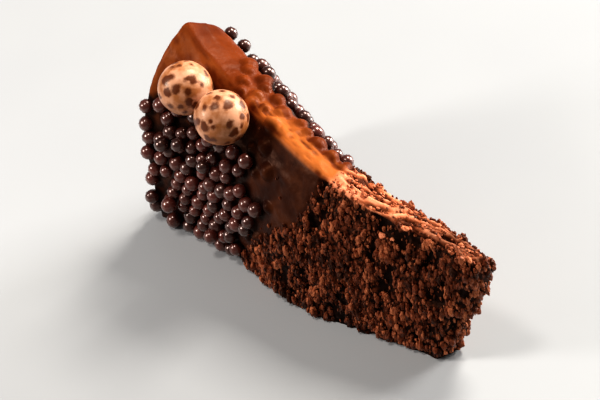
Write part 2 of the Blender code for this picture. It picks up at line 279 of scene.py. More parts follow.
def wedge_rows(y):
    """Open rows over the wedge at each y: up the left side, over the ridge, down the right."""
    y = y[:, None]
    up = np.linspace(0.0, 1.0, SIDE_STEPS)
    over = np.linspace(0.0, 1.0, RIDGE_STEPS)[1:-1]
    rows = np.concatenate([side(y, up, False), ridge(y, over), side(y, up[::-1], True)], axis=1)
    low, high = PEAK_RANGE
    share = np.clip((y - low) / (high - low), 0.0, 1.0)[:, :, None]
    return averaged(rows, SOFTENING[0]) * (1 - share) + averaged(rows, SOFTENING[1]) * share


def closed_rows(rows):
    """Each row closed along the base, from its last point back to its first."""
    t = np.linspace(0.0, 1.0, BASE_STEPS)[1:-1, None]
    base = rows[:, -1:] * (1 - t) + rows[:, :1] * t
    return np.concatenate([rows, base], axis=1)


print("places round the wedge:", closed_rows(wedge_rows(np.zeros(1))).shape[1])

# %% Rings from the back to the tip
GRID_STEP = 0.5             # millimetres from ring to ring
BACK_ROUNDING, TIP_ROUNDING = 1.3, 1.4
ROUNDING_STEPS = 7
BACK_BULGE, TIP_BULGE = 1.8, 0.8
BACK_FACE_STEPS, TIP_FACE_STEPS = 40, 18


def end_rings(ring, rounding, bulge, face_steps):
    """Rings that close an end. The ring shrinks by r(1 - cos a) and moves out by r sin a, then
    shrinks to its middle on a face that swells by bulge times (1 - s^2)."""
    low, high = ring.min(axis=0), ring.max(axis=0)
    out = math.copysign(1.0, bulge)
    a = np.linspace(0.0, math.pi / 2, ROUNDING_STEPS)[1:, None]
    inset, push = rounding * (1 - np.cos(a)), rounding * np.sin(a) * out
    middle, half = (low + high) / 2, (high - low) / 2
    x = middle[0] + (ring[:, 0] - middle[0]) * (1 - inset / half[0])
    z = ring[:, 2] * (1 - inset / (2 * half[2]))
    turned = np.stack([x, ring[:, 1] + push, z], axis=-1)
    s = np.linspace(1.0, 0.0, face_steps)[1:-1, None, None]
    hub = turned[-1].mean(axis=0)
    face = hub + (turned[-1] - hub) * s
    face[:, :, 1] += bulge * (1 - s[:, :, 0]**2)
    return np.concatenate([turned, face])


ys = np.arange(BACK_Y - BACK_ROUNDING, TIP_Y + TIP_ROUNDING, -GRID_STEP)
rings = closed_rows(wedge_rows(ys))
rings = np.concatenate([
    end_rings(rings[0], BACK_ROUNDING, BACK_BULGE, BACK_FACE_STEPS)[::-1],
    rings,
    end_rings(rings[-1], TIP_ROUNDING, -TIP_BULGE, TIP_FACE_STEPS),
])
print("rings:", rings.shape)

# %% [markdown]
# ## Where the crumbs lie
#
# The coat of crumbs ends in a ragged line that climbs towards the tip. The line could be painted
# by hand. Here a share from 0 to 1 says how much of the coat lies at each place, and this one
# share steers the relief, the loose crumbs and the colour, so that the three always agree.

# %% The share of the crumb coat
CRUMB_EDGE_RIDGE, CRUMB_EDGE_FOOT = -11.0, 25.0
CRUMB_EDGE_BEND = 1.7
CRUMB_FADE = 2.5
CRUMB_RAGGED, CRUMB_RAGGED_SIZE = 2.6, 3.5


def crumb_share(points):
    """1 in the crumb coat, 0 on bare icing. The edge's y runs from the ridge's value to the
    foot's with a power of what is left of the height, plus soft noise."""
    height = sizes_at(points[..., 1])[3]
    left = np.clip(1 - points[..., 2] / height, 0.0, 1.0)
    edge = CRUMB_EDGE_RIDGE + (CRUMB_EDGE_FOOT - CRUMB_EDGE_RIDGE) * left**CRUMB_EDGE_BEND
    edge = edge + CRUMB_RAGGED * soft_noise(points, CRUMB_RAGGED_SIZE, SEED)
    return np.clip((edge - points[..., 1]) / CRUMB_FADE + 0.5, 0.0, 1.0)


half_way_up = side(np.linspace(TIP_Y, BACK_Y, 7), 0.5, False)
print("crumb share from tip to back:", crumb_share(half_way_up).round(2))

# %% [markdown]
# ## The crumb coat's lumps and the ridge's streaks
#
# Under the coat the surface rises in lumps, drawn out upwards as the crumbs were pressed on, with
# pits between clumps, which the finish darkens further with painted shade. On the ridge the lumps
# give way to streaks that run along it, where crumbs were smeared into the icing. A displacement
# shader would be lost on export, so both are heights in millimetres that later move the places
# themselves.

# %% Relief of lumps, pits and streaks
LUMPS = ((2.9, 1.0, 0.62), (1.3, 0.35, 0.60))   # cell size, weight, distance that lies level
LUMP_STRETCH = np.array([1.0, 1.0, 1.35])
CLUMP_SIZE, CLUMP_RISE = 7.0, 0.5
PIT_STRETCH = np.array([1.0, 1.0, 1.7])
PIT_SIZE, PIT_DEPTH = 2.7, 1.2
PIT_RANGE = (0.15, 0.55)
STREAKS = ((1.9, 4.5, 1.5, 0.45), (1.2, 2.2, 0.7, 0.40))    # width, stretch, weight, level
STREAK_ACROSS = 9.0         # the ridge's width, as the streaks see it
STREAK_UP = 9.0             # how little they change with height


def pits(points):
    """1 at the bottom of a pit and 0 outside: where soft noise, drawn out upwards, is low."""
    return smooth_step(-soft_noise(points / PIT_STRETCH, PIT_SIZE, SEED + 9), *PIT_RANGE)


def crumb_relief(points):
    """Lumps of two sizes, high in the middle of a cell and low between cells, on clumps and
    around pits, all drawn out upwards."""
    sunk = PIT_DEPTH * pits(points)
    points = points / LUMP_STRETCH
    lumps = CLUMP_RISE * soft_noise(points, CLUMP_SIZE, SEED + 3) - sunk
    for number, (size, weight, level) in enumerate(LUMPS):
        lumps += weight * (level - cell_noise(points, size, SEED + 1 + number))
    return lumps


def across_ridge(points):
    """How far a place lies across the ridge: 0 at its left edge, 1 at its right."""
    _, _, ridge_l, _, ridge_r, _ = sizes_at(points[:, 1])
    return (points[:, 0] - ridge_l) / (ridge_r - ridge_l)


def streak_relief(points):
    """Crests that follow the ridge, in two widths: a level minus the size of soft noise that is
    drawn out along the slice."""
    follow = np.stack([across_ridge(points) * STREAK_ACROSS, points[:, 1], points[:, 2]], axis=-1)
    crests = np.zeros(len(points))
    for number, (width, stretch, weight, level) in enumerate(STREAKS):
        swells = soft_noise(follow / np.array([1.0, stretch, STREAK_UP]), width, SEED + 6 + number)
        crests += weight * (level - np.abs(swells))
    return crests


print("streaks across the ridge:", streak_relief(ridge(-20.0, np.linspace(0, 1, 5))).round(2))

# %% [markdown]
# ## The icing's swells and glazed lumps
#
# Outside the coat the icing is smooth but not flat: long faint swells follow the spatula, with
# small dabs where it was lifted. A few pearls lie under the icing and lift it in round lumps. The
# lumps' places are given by the distance along the slice and the share across the ridge or up
# the side, read from the photograph.

# %% Relief of strokes, dabs and lumps
STROKE_STRETCH, STROKE_SIZE, STROKE_RISE = np.array([1.0, 3.5, 1.6]), 4.0, 0.22
DAB_STRETCH, DAB_SIZE, DAB_RISE = np.array([1.0, 1.5, 1.3]), 3.2, 0.34
DAB_LEVEL = 0.4
UNEVEN_SIZE, UNEVEN_RISE = 1.5, 0.10
LUMP_RADII = (1.5, 2.6)
LUMP_RISE = 0.68            # height of a lump over its radius
LUMP_ROUNDNESS = 0.8
RIDGE_LUMPS = ((31.6, 0.72), (28.0, 0.38), (24.5, 0.78), (22.1, 0.36), (19.7, 0.88), (17.6, 0.30),
               (14.6, 0.70), (27.0, 0.95), (9.5, 0.93), (5.9, 0.86), (1.2, 0.84), (-4.2, 0.80),
               (-8.8, 0.88), (12.2, 0.12), (34.0, 0.90), (20.5, 0.06), (25.5, 0.10))
LEFT_LUMPS = ((14.0, 0.84), (10.5, 0.90), (11.0, 0.74), (7.0, 0.80), (9.0, 0.12), (5.5, 0.22),
              (12.5, 0.28), (3.5, 0.08), (1.0, 0.40), (7.5, 0.34), (10.0, 0.42), (2.5, 0.24),
              (4.0, 0.62), (14.5, 0.14), (6.0, 0.05))


def icing_relief(points):
    """Long swells where the spatula went, dabs where it was lifted, and a fine unevenness: each
    is soft noise times its rise, and a dab's is the level minus the noise's size."""
    strokes = soft_noise(points / STROKE_STRETCH, STROKE_SIZE, SEED + 4)
    dabs = DAB_LEVEL - np.abs(soft_noise(points / DAB_STRETCH, DAB_SIZE, SEED + 10))
    uneven = soft_noise(points, UNEVEN_SIZE, SEED + 5)
    return STROKE_RISE * strokes + DAB_RISE * dabs + UNEVEN_RISE * uneven


def lump_relief(points, spots, draw):
    """Round lumps, each of its own radius: its height times (1 - (distance / radius)^2) to the
    power of the roundness, and the highest where two meet."""
    highest = np.zeros(len(points))
    for spot, radius in zip(spots, draw.uniform(*LUMP_RADII, len(spots))):
        part = np.minimum(np.linalg.norm(points - spot, axis=1) / radius, 1.0)
        highest = np.maximum(highest, radius * LUMP_RISE * (1 - part**2)**LUMP_ROUNDNESS)
    return highest


print("glazed lumps:", len(RIDGE_LUMPS), "on the ridge,", len(LEFT_LUMPS), "on the left side")

# %% [markdown]
# ## The finished wedge
#
# The places move along their normals by the relief: the crumb coat's where the share is 1, the
# icing's where it is 0, and a blend along the ragged edge. The wedge also keeps numbers for its
# finish: the coat's share; how hollow a place is, for painted shade in the hollows; how much it
# faces the sky, for painted light on the top, less towards the tip, and painted shade on the side;
# how near it is to the ridge's lit edge, for a painted glow; and how high on a streak.

# %% Relief and numbers on the wedge
FACING_UP = (0.60, 0.82)            # the normal's z where the top's painted light fades in
FACING_UP_PEAK = (0.24, 0.54)       # the same over the peak, where the painted light reaches further down
FACING_UP_RIDGE = (0.70, 0.92)      # and where the ridge's streaks fade in
RIDGE_CALM = 0.75                   # the share of the lumps that the ridge lacks
ICING_STREAKS, ICING_STREAKS_RANGE = 0.45, (28.0, 10.0)
HOLLOW_BELOW = 0.35
# where the painted glow along the ridge's lit edge lies, across and along, and a weaker one on the
# peak's left shoulder
LIT_ACROSS, LIT_ALONG = (0.95, 0.30), (27.0, 9.0)
LIT_PEAK, LIT_PEAK_FACING = 0.25, (-0.1, 0.4)
CREST_RANGE = (-0.1, 0.75)
# how much painted shade darkens the crumbs towards the tip, and where it fades in
TIP_SHADE, TIP_SHADE_RANGE = 0.75, (-28.0, -46.0)
BASE_HEIGHT = 0.01


def sunlit(points):
    """The painted light's share: 1 over most of the slice, and less towards the tip, where the
    crumbs get painted shade.
    """
    return 1 - TIP_SHADE * smooth_step(points[:, 1], *TIP_SHADE_RANGE)


places, faces = with_poles(rings)
wedge = piece_from("iced_wedge", places, faces)
normal = triples(wedge.data.vertices, "normal")
spots = np.concatenate([ridge(*np.transpose(RIDGE_LUMPS)),
                        side(*np.transpose(LEFT_LUMPS), False)])
coat = crumb_share(places)
over_peak = smooth_step(places[:, 1], *PEAK_RANGE)
low, high = (there + (peak - there) * over_peak for there, peak in zip(FACING_UP, FACING_UP_PEAK))
# top: how much painted light a place takes by facing up, less towards the tip; the side gets
# painted shade
top = smooth_step(normal[:, 2], low, high) * sunlit(places)
on_ridge = smooth_step(normal[:, 2], *FACING_UP_RIDGE)

streaks = streak_relief(places)
rough = crumb_relief(places) * (1 - RIDGE_CALM * on_ridge) + streaks * on_ridge
draw = np.random.default_rng(SEED + 8)
smooth = icing_relief(places) + lump_relief(places, spots, draw)
smooth += ICING_STREAKS * streaks * on_ridge * smooth_step(places[:, 1], *ICING_STREAKS_RANGE)
relief = rough * coat + smooth * (1 - coat)
moved = places + normal * relief[:, None]
moved[:, 2] = np.maximum(moved[:, 2], 0.0)
moved[places[:, 2] < BASE_HEIGHT, 2] = 0.0
move_places(wedge, moved)

# near: how much painted glow a place takes, along the ridge's lit edge and on the peak's left
# shoulder
near = smooth_step(across_ridge(places), *LIT_ACROSS) * smooth_step(places[:, 1], *LIT_ALONG)
near += LIT_PEAK * over_peak * smooth_step(-normal[:, 0], *LIT_PEAK_FACING)
# hollow drives painted shade in the crumb coat's hollows and pits
mark(wedge, coat=coat, hollow=np.clip(HOLLOW_BELOW - rough, 0.0, 1.0) * coat, top=top, near=near,
     crest=smooth_step(streaks, *CREST_RANGE))
print("wedge:", len(places), "places, crumb share", round(float(coat.mean()), 2))

# %% [markdown]
# ## A small ball, and many of it
#
# Crumbs, pearls and malt balls all start as a ball on a grid of two angles. A crumb is a ball
# with a rough radius, a pearl an almost even one. Hundreds of copies could be instances, but the
# finished piece has to be real mesh, so the copies are joined as one array: every copy's places
# are the shape's places scaled, turned, stretched and moved.


# %% Ball grids and joined copies
def ball_grid(around, rows):
    """Directions on a ball: colatitude in equal steps between the poles, longitude in equal
    steps, with a pole at each end. Returns the directions and the faces."""
    theta = np.linspace(0.0, math.pi, rows + 2)[1:-1, None]
    phi = np.arange(around)[None] * 2 * math.pi / around
    grid = np.stack([np.sin(theta) * np.cos(phi), np.sin(theta) * np.sin(phi),
                     np.cos(theta) + 0 * phi], axis=-1).reshape(-1, 3)
    return np.concatenate([[[0.0, 0.0, 1.0]], grid, [[0.0, 0.0, -1.0]]]), ring_faces(rows, around)


def random_turns(draw, count):
    """Evenly random rotations: unit quaternions made into matrices."""
    quaternions = draw.normal(size=(count, 4))
    w, x, y, z = (quaternions / np.linalg.norm(quaternions, axis=1, keepdims=True)).T
    return np.stack([
        np.stack([1 - 2 * (y * y + z * z), 2 * (x * y - z * w), 2 * (x * z + y * w)], axis=-1),
        np.stack([2 * (x * y + z * w), 1 - 2 * (x * x + z * z), 2 * (y * z - x * w)], axis=-1),
        np.stack([2 * (x * z - y * w), 2 * (y * z + x * w), 1 - 2 * (x * x + y * y)], axis=-1),
    ], axis=1)


def joined_copies(name, shapes, faces, draw, centres, sizes, stretch=1.0, smooth=True, **marks):
    """One piece of many copies: a random shape of the set for each centre, scaled, turned,
    stretched and moved. Each copy carries its own random number as the attribute tint, and its
    other marks."""
    count, corners = len(centres), shapes.shape[1]
    chosen = shapes[draw.integers(0, len(shapes), count)] * sizes[:, None, None]
    turned = np.einsum("nij,nvj->nvi", random_turns(draw, count), chosen)
    places = (turned * stretch + centres[:, None]).reshape(-1, 3)
    shift = (np.arange(count) * corners)[:, None, None]
    every = []
    for sides in (4, 3):
        alike = np.array([face for face in faces if len(face) == sides])
        every += (alike + shift).reshape(-1, sides).tolist()
    marks["tint"] = draw.uniform(0.0, 1.0, count)
    every_mark = {title: np.repeat(values, corners) for title, values in marks.items()}
    return piece_from(name, places, every, smooth, **every_mark)


print("a ball of 5 rows of 10 places has", len(ball_grid(10, 5)[1]), "faces")

# %% [markdown]
# ## The crumb coat
#
# The real crumbs are coarse, up to about four millimetres long, and dark gaps show between them.
# The relief alone would look like skin, so loose crumbs are strewn on it, a big kind and a fine
# kind between. A particle system could do that, but the export drops it, so places are drawn from
# the wedge's own faces: inside the coat, and a few fine ones just outside it. A crumb has few
# faces and is shaded flat, which makes it look broken.

# %% Random places on a surface
CRUMB_FOOT = 0.3            # no crumb starts lower than this


def strewn(item, share, count, draw):
    """Random places on an object's faces and their normals: a face is drawn with a chance that
    is its area times the mean share of its corners, and a place is a random blend of corners."""
    data = item.data
    data.calc_loop_triangles()
    corners = triples(data.loop_triangles, "vertices", np.int32)
    triangle = (triples(data.vertices, "co") / MM)[corners]
    area = np.linalg.norm(np.cross(triangle[:, 1] - triangle[:, 0],
                                   triangle[:, 2] - triangle[:, 0]), axis=1)
    above = triangle[:, :, 2].mean(axis=1) > CRUMB_FOOT
    chance = area * share[corners].mean(axis=1) * above
    picked = draw.choice(len(corners), count, p=chance / chance.sum())
    blend = draw.dirichlet([1.0, 1.0, 1.0], count)[:, :, None]
    normal = (triples(data.vertices, "normal")[corners[picked]] * blend).sum(axis=1)
    return (triangle[picked] * blend).sum(axis=1), normal


first = strewn(wedge, coat, 1, np.random.default_rng(SEED))[0]
print("a random place in the crumb coat:", first.round(1))

# %% Crumb shapes and layers
CRUMB_ROUGHNESS = 0.24
CRUMB_SQUEEZE = (0.62, 1.0)
SMALL_CRUMBS = 1.7          # the higher this power, the more crumbs are near the smallest size
STRETCH_SIDE = np.array([0.80, 0.80, 1.55])
STRETCH_RIDGE = np.array([0.85, 1.5, 0.7])
CRUMB_FACING_UP = (0.55, 0.85)


def crumb_shapes(draw, directions, kinds):
    """A few rough lumps: each direction's radius is 1 plus random noise, and each lump is
    squeezed differently along its three axes."""
    radius = 1 + CRUMB_ROUGHNESS * draw.uniform(-1, 1, (kinds, len(directions), 1))
    squeeze = draw.uniform(*CRUMB_SQUEEZE, (kinds, 1, 3))
    return directions[None] * radius * squeeze


def crumb_layer(name, count, sizes, lift, kinds, grid, share):
    """A joined layer of crumbs: strewn by share, each lifted along the normal by a random part
    of its own size, and none below the floor. They are drawn out upwards on the sides and
    along the slice on the ridge."""
    draw = np.random.default_rng(SEED + count)
    directions, ball_faces = ball_grid(*grid)
    spots, normal = strewn(wedge, share, count, draw)
    size = sizes[0] + (sizes[1] - sizes[0]) * draw.uniform(0.0, 1.0, count)**SMALL_CRUMBS
    centres = spots + normal * (size * draw.uniform(*lift, count))[:, None]
    centres[:, 2] = np.maximum(centres[:, 2], size * STRETCH_SIDE[2] * (1 + CRUMB_ROUGHNESS))
    shapes = crumb_shapes(draw, directions, kinds)
    # A crumb that faces up takes painted light, less towards the tip; one on the side takes painted
    # shade
    flat = smooth_step(normal[:, 2], *CRUMB_FACING_UP)
    lit = flat * sunlit(spots)
    flat = flat[:, None, None]
    stretch = STRETCH_SIDE * (1 - flat) + STRETCH_RIDGE * flat
    return joined_copies(name, shapes, ball_faces, draw, centres, size, stretch, False, top=lit)


print("crumbs stretch by", STRETCH_SIDE, "on the sides,", STRETCH_RIDGE, "on the ridge")

# %% Coarse and fine crumbs
STRAY_SHARE, STRAY_RANGE = 0.02, (24.0, 10.0)       # fine crumbs that fell on the icing


def share_but(ridge_part, pit_part):
    """The coat's share, less a part of it on the ridge and in the pits."""
    return coat * ((1 - ridge_part * on_ridge) * (1 - pit_part * pits(places)))


stray = STRAY_SHARE * smooth_step(places[:, 1], *STRAY_RANGE)
coarse_crumbs = crumb_layer("coarse_crumbs", 2300, sizes=(0.50, 1.30), lift=(-0.3, 0.6), kinds=14,
                            grid=(8, 5), share=share_but(0.93, 0.90))
fine_crumbs = crumb_layer("fine_crumbs", 3600, sizes=(0.25, 0.65), lift=(0.0, 0.9), kinds=8,
                          grid=(5, 2), share=np.maximum(share_but(0.25, 0.70), stray))
print("crumb faces:", len(coarse_crumbs.data.polygons), len(fine_crumbs.data.polygons))

# %% [markdown]
# ## The crisp pearls
#
# The pearls are little cereal balls in a chocolate shell, about 4 mm across. They were pressed
# in by hand, so they are crowded but not in line. A physics run could drop them into place, but a
# rule is quicker and gives the same result each time. Each side is unrolled flat, rows of places
# are shaken, crowding neighbours push each other apart, and the places are laid back on the
# side. The rule and its random draw are the solid's own.

# %% Pearls that push each other apart
PEARL_DIAMETER = 4.1
PEARL_FOOT = PEARL_DIAMETER / 2 + 0.2
SETTLE_ROUNDS = 40
SETTLE_SHARE = 0.35


def settled(spots):
    """Pearls closer than a diameter push each other apart by a share of the overlap."""
    itself = np.eye(len(spots)) * 10 * PEARL_DIAMETER
    for _ in range(SETTLE_ROUNDS):
        apart = spots[:, None] - spots[None]
        gap = np.linalg.norm(apart, axis=2) + itself
        push = np.maximum(PEARL_DIAMETER - gap, 0.0) / gap * SETTLE_SHARE
        spots = spots + (apart * push[:, :, None]).sum(axis=1)
        spots[:, 1] = np.maximum(spots[:, 1], PEARL_FOOT)
    return spots


pair = settled(np.array([[0.0, 10.0], [3.0, 10.0]]))
print("two pearls 3 mm apart end", np.ptp(pair[:, 0]).round(1), "mm apart")

# %% Crowded places on a side
PEARL_PITCH = 4.5
PEARL_ROW_GAP = PEARL_PITCH * 0.87
PEARL_PROUD = 0.9
PEARL_LIFT = 0.6
PEARL_SHAKE = 1.9
PEARL_BACK_MARGIN = 1.5
PEARL_SHARES = (0.0, 0.45, 1.0)     # how far up a side the field's edge is given
PEARL_EDGES = ((24.0, 6.5, 18.0), (30.0, 16.0, -8.0))   # its y there, on the left and the right
PEARL_RAGGED = 3.0
PEARL_TOP_MARGINS = ((3.6, 5.0), (1.4, 6.0))            # least and most bare icing above
PEARL_TOPS = (39.5, 50.0)
SLOPE = 1.12                # the unrolled side's height over the ridge's


def outward(y, share, right):
    """The side's normal: the cross product of a small step along it and a small step up it."""
    up = side(y, np.minimum(share + 0.02, 1), right) - side(y, np.maximum(share - 0.02, 0), right)
    along = side(y + 0.5, share, right) - side(y - 0.5, share, right)
    normal = np.cross(along, up) * (1 if right else -1)
    return normal / np.linalg.norm(normal, axis=1, keepdims=True)


def side_pearls(draw, right):
    """Rows on the unrolled side, shaken, settled, cut to the pearls' field and laid back."""
    edge = PEARL_EDGES[right]
    tallest = SECTIONS[0, 6 if right else 4]
    rows = []
    for row, up in enumerate(np.arange(PEARL_FOOT, tallest * SLOPE, PEARL_ROW_GAP)):
        start = BACK_Y - PEARL_BACK_MARGIN - (row % 2) * PEARL_PITCH / 2
        ys = np.arange(start, min(edge) - PEARL_RAGGED, -PEARL_PITCH)
        rows.append(np.stack([ys, np.full_like(ys, up)], axis=-1))
    flat = np.concatenate(rows)
    flat = settled(flat + draw.uniform(-PEARL_SHAKE, PEARL_SHAKE, flat.shape))
    ys = np.minimum(flat[:, 0], BACK_Y - PEARL_BACK_MARGIN / 2)
    height = sizes_at(ys)[5 if right else 3]
    shares = flat[:, 1] / (height * SLOPE)
    limit = np.interp(shares, PEARL_SHARES, edge)
    limit = limit + draw.uniform(-PEARL_RAGGED, PEARL_RAGGED, ys.shape)
    margin = draw.uniform(*PEARL_TOP_MARGINS[right], ys.shape)
    top = np.minimum(height - margin, PEARL_TOPS[right])
    keep = (ys > limit) & (shares * height < top)
    ys, shares = ys[keep], shares[keep]
    normal = outward(ys, shares, right)
    lift = PEARL_PROUD + draw.uniform(0.0, PEARL_LIFT, ys.shape)
    return side(ys, shares, right) + normal * lift[:, None], normal


print("a row of pearls rises", round(PEARL_ROW_GAP, 1), "mm above the last")

# %% Places on the back's corners and low on the back
CORNER_TOP = 35.0
CORNER_DEPTH = 2.4
CORNER_TURNS = (53.0, 10.0)
BACK_PEARL_TOP = 14.0
BACK_PEARL_MARGIN = 6.5
BACK_PEARL_PITCH = 5.0
BACK_PEARL_SHAKE = 1.1
BACK_PEARL_NONE = 18.0
BACK_PEARL_SEAT = 1.8


def corner_pearls(draw, right):
    """Pearls up an upright edge of the back face. The deeper one lies, the more it faces
    sideways."""
    zs = np.arange(PEARL_FOOT + 1.0, CORNER_TOP, PEARL_PITCH)
    zs = zs + draw.uniform(-PEARL_SHAKE, PEARL_SHAKE, zs.shape)
    depth = draw.uniform(0.0, CORNER_DEPTH, zs.shape)
    ys = BACK_Y - BACK_ROUNDING - depth
    turn = np.radians(np.interp(depth, (0.0, CORNER_DEPTH), CORNER_TURNS))
    normal = np.stack([np.cos(turn) * (1 if right else -1), np.sin(turn), 0 * turn], axis=-1)
    place = side(ys, zs / sizes_at(ys)[5 if right else 3], right)
    return place + normal * PEARL_PROUD, normal


def back_pearls(draw):
    """A few rows of pearls low on the back face, thinning out upwards."""
    centres = []
    foot_l, foot_r = SECTIONS[0, 1], SECTIONS[0, 2]
    for z in np.arange(PEARL_FOOT, BACK_PEARL_TOP, PEARL_PITCH):
        xs = np.arange(foot_l + BACK_PEARL_MARGIN, foot_r - BACK_PEARL_MARGIN, BACK_PEARL_PITCH)
        xs = xs + draw.uniform(-BACK_PEARL_SHAKE, BACK_PEARL_SHAKE, xs.shape)
        xs = xs[draw.uniform(0, 1, xs.shape) > z / BACK_PEARL_NONE]
        zs = z + draw.uniform(0.0, BACK_PEARL_SHAKE, xs.shape)
        centres.append(np.stack([xs, np.full_like(xs, BACK_Y + BACK_PEARL_SEAT), zs], axis=-1))
    centres = np.concatenate(centres)
    return centres, np.tile([0.0, 1.0, 0.0], (len(centres), 1))


print("pearls on the back lie below", BACK_PEARL_TOP, "mm")

# %% [markdown]
# ## Every pearl
#
# The groups are put together, and a pearl that would run into an earlier one is dropped, as is
# one that would touch a malt ball. A few more lie in a second layer, each in the hollow between
# three neighbours. Sixty faces are enough for so small a ball when it is shaded smooth. Light
# hardly reaches the icing between the pearls, so the wedge keeps one more number there, by which
# the finish paints shade onto the icing.

# %% Pearls kept apart, and a second layer
LEAST_GAP = 0.9
UPPER_PEARLS = 16
UPPER_RISE = 2.6
UPPER_FIELD = ((-25.0, 22.0, 5.0), (-8.0, 46.0, 36.0))
UPPER_GAPS = (0.8, 0.93)
UPPER_APART = 1.3
BALL_CLEARANCE = 0.35
MALT_BALL_DIAMETER = 14.0
MALT_BALLS = {
    "malt_ball_back": (-12.7, 32.9, 48.1),
    "malt_ball_front": (-10.1, 18.9, 45.8),
}


def kept_apart(centres):
    """Numbers of the pearls that don't run into one placed before them."""
    kept = []
    for number, centre in enumerate(centres):
        if all(np.linalg.norm(centre - centres[k]) > PEARL_DIAMETER * LEAST_GAP for k in kept):
            kept.append(number)
    return kept


def upper_pearls(draw, centres, normals):
    """A few pearls in a second layer: each lies above the middle of three neighbours."""
    low, high = UPPER_FIELD
    inside = ((centres > low) & (centres < high)).all(axis=1)
    upper = []
    for number in draw.permutation(np.flatnonzero(inside)):
        near = np.argsort(np.linalg.norm(centres - centres[number], axis=1))[:3]
        normal = normals[near].mean(axis=0)
        place = centres[near].mean(axis=0) + normal / np.linalg.norm(normal) * UPPER_RISE
        gap = np.linalg.norm(centres - place, axis=1).min() / PEARL_DIAMETER
        lone = all(np.linalg.norm(place - u) > PEARL_DIAMETER * UPPER_APART for u in upper)
        if lone and UPPER_GAPS[0] < gap < UPPER_GAPS[1]:
            upper.append(place)
        if len(upper) == UPPER_PEARLS:
            break
    return np.array(upper)


def pearl_centres():
    """Every pearl's centre, clear of the base and of the malt balls."""
    draw = np.random.default_rng(SEED + 1)
    groups = [corner_pearls(draw, False), corner_pearls(draw, True),
              side_pearls(draw, False), side_pearls(draw, True), back_pearls(draw)]
    centres, normals = (np.concatenate(group) for group in zip(*groups))
    centres[:, 2] = np.maximum(centres[:, 2], PEARL_DIAMETER / 2 + 0.05)
    keep = kept_apart(centres)
    centres, normals = centres[keep], normals[keep]
    centres = np.concatenate([centres, upper_pearls(draw, centres, normals)])
    balls = np.array(list(MALT_BALLS.values()))
    reach = (MALT_BALL_DIAMETER + PEARL_DIAMETER) / 2 + BALL_CLEARANCE
    clear = (np.linalg.norm(centres[:, None] - balls[None], axis=2) > reach).all(axis=1)
    return centres[clear]


centres = pearl_centres()
print("pearls:", len(centres))

# %% The pearls' mesh, and the icing beneath
PEARL_GRID = (10, 5)
PEARL_KINDS, KIND_STEP = 8, 9.0
PEARL_SWELL_RATE, PEARL_SWELL = 1.4, 0.035
PEARL_NUDGE = 0.25
PEARL_SIZES = (0.88, 1.05)
PEARL_FLOOR = 1.03          # the least height of a pearl's middle, in its radii
BENEATH_RANGE = (4.3, 2.7)  # millimetres to a pearl's middle where the painted shade fades in


def beneath(points, centres):
    """1 on the icing close to a pearl's middle, fading to 0 further away."""
    nearest = np.full(len(points), np.inf)
    for centre in centres:
        nearest = np.minimum(nearest, np.linalg.norm(points - centre, axis=1))
    return smooth_step(nearest, *BENEATH_RANGE)


draw = np.random.default_rng(SEED + 20)
directions, ball_faces = ball_grid(*PEARL_GRID)
steps = np.arange(PEARL_KINDS)[:, None, None] * KIND_STEP
uneven = soft_noise(directions[None] * PEARL_SWELL_RATE + steps, 1.0, SEED)
shapes = directions[None] * (1.0 + PEARL_SWELL * uneven[:, :, None])
centres += draw.uniform(-PEARL_NUDGE, PEARL_NUDGE, centres.shape)
sizes = PEARL_DIAMETER / 2 * draw.uniform(*PEARL_SIZES, len(centres))
centres[:, 2] = np.maximum(centres[:, 2], sizes * PEARL_FLOOR)
pearls = joined_copies("crisp_pearls", shapes, ball_faces, draw, centres, sizes)
# under: painted shade on the icing close to the pearls, left off the ridge
mark(wedge, under=beneath(moved, centres) * (1 - on_ridge))
print("pearl faces:", len(pearls.data.polygons))

# %% [markdown]
# ## The malt balls
#
# A malt ball is nearly round, with a slightly lumpy shell and dark specks spread evenly over it.
# Soft noise in the radius gives the lumps. A noise texture would bunch the specks, so their
# middles lie on a golden spiral, which spaces points evenly on a ball, and are then shaken. Each
# place keeps its distance to the nearest speck's edge, and the finish draws the specks from that.

# %% Two malt balls
SHELL_GRID = (96, 60)
SHELL_SIZE = 0.99                               # of the solid's radius
SHELL_SWELLS = ((0.016, 1.3), (0.004, 6.0))     # height over the radius, and how fine
SPECKS = 56
SPECK_RADII = (0.55, 1.42)
SPECK_SHAKE = 0.18


def spiral(count):
    """Directions spread evenly on a ball: heights in equal steps, and each turned on from the
    last by the golden angle."""
    number = np.arange(count) + 0.5
    z = 1 - 2 * number / count
    turn = number * math.pi * (3 - math.sqrt(5))
    flat = np.sqrt(1 - z * z)
    return np.stack([flat * np.cos(turn), flat * np.sin(turn), z], axis=-1)


def malt_ball(name, centre, seed):
    """A ball whose radius is a little under the solid's, plus two sizes of soft noise. The
    attribute speck is the distance in millimetres to the nearest speck's edge."""
    draw = np.random.default_rng(seed)
    directions, shell_faces = ball_grid(*SHELL_GRID)
    swell = sum(height * soft_noise(directions * rate + seed, 1.0, seed + number)
                for number, (height, rate) in enumerate(SHELL_SWELLS))
    radius = MALT_BALL_DIAMETER / 2 * (SHELL_SIZE + swell)
    middles = spiral(SPECKS) @ random_turns(draw, 1)[0]
    middles = middles + draw.normal(0.0, SPECK_SHAKE / 2, middles.shape)
    middles /= np.linalg.norm(middles, axis=1, keepdims=True)
    gap = np.arccos(np.clip(directions @ middles.T, -1, 1)) * MALT_BALL_DIAMETER / 2
    speck = (gap - draw.uniform(*SPECK_RADII, SPECKS)).min(axis=1)
    shell_places = np.array(centre) + directions * radius[:, None]
    return piece_from(name, shell_places, shell_faces, speck=speck)


balls = [malt_ball(f"{node}_shell", centre, 3 + number)
         for number, (node, centre) in enumerate(MALT_BALLS.items())]
print("malt balls:", [ball.name for ball in balls])

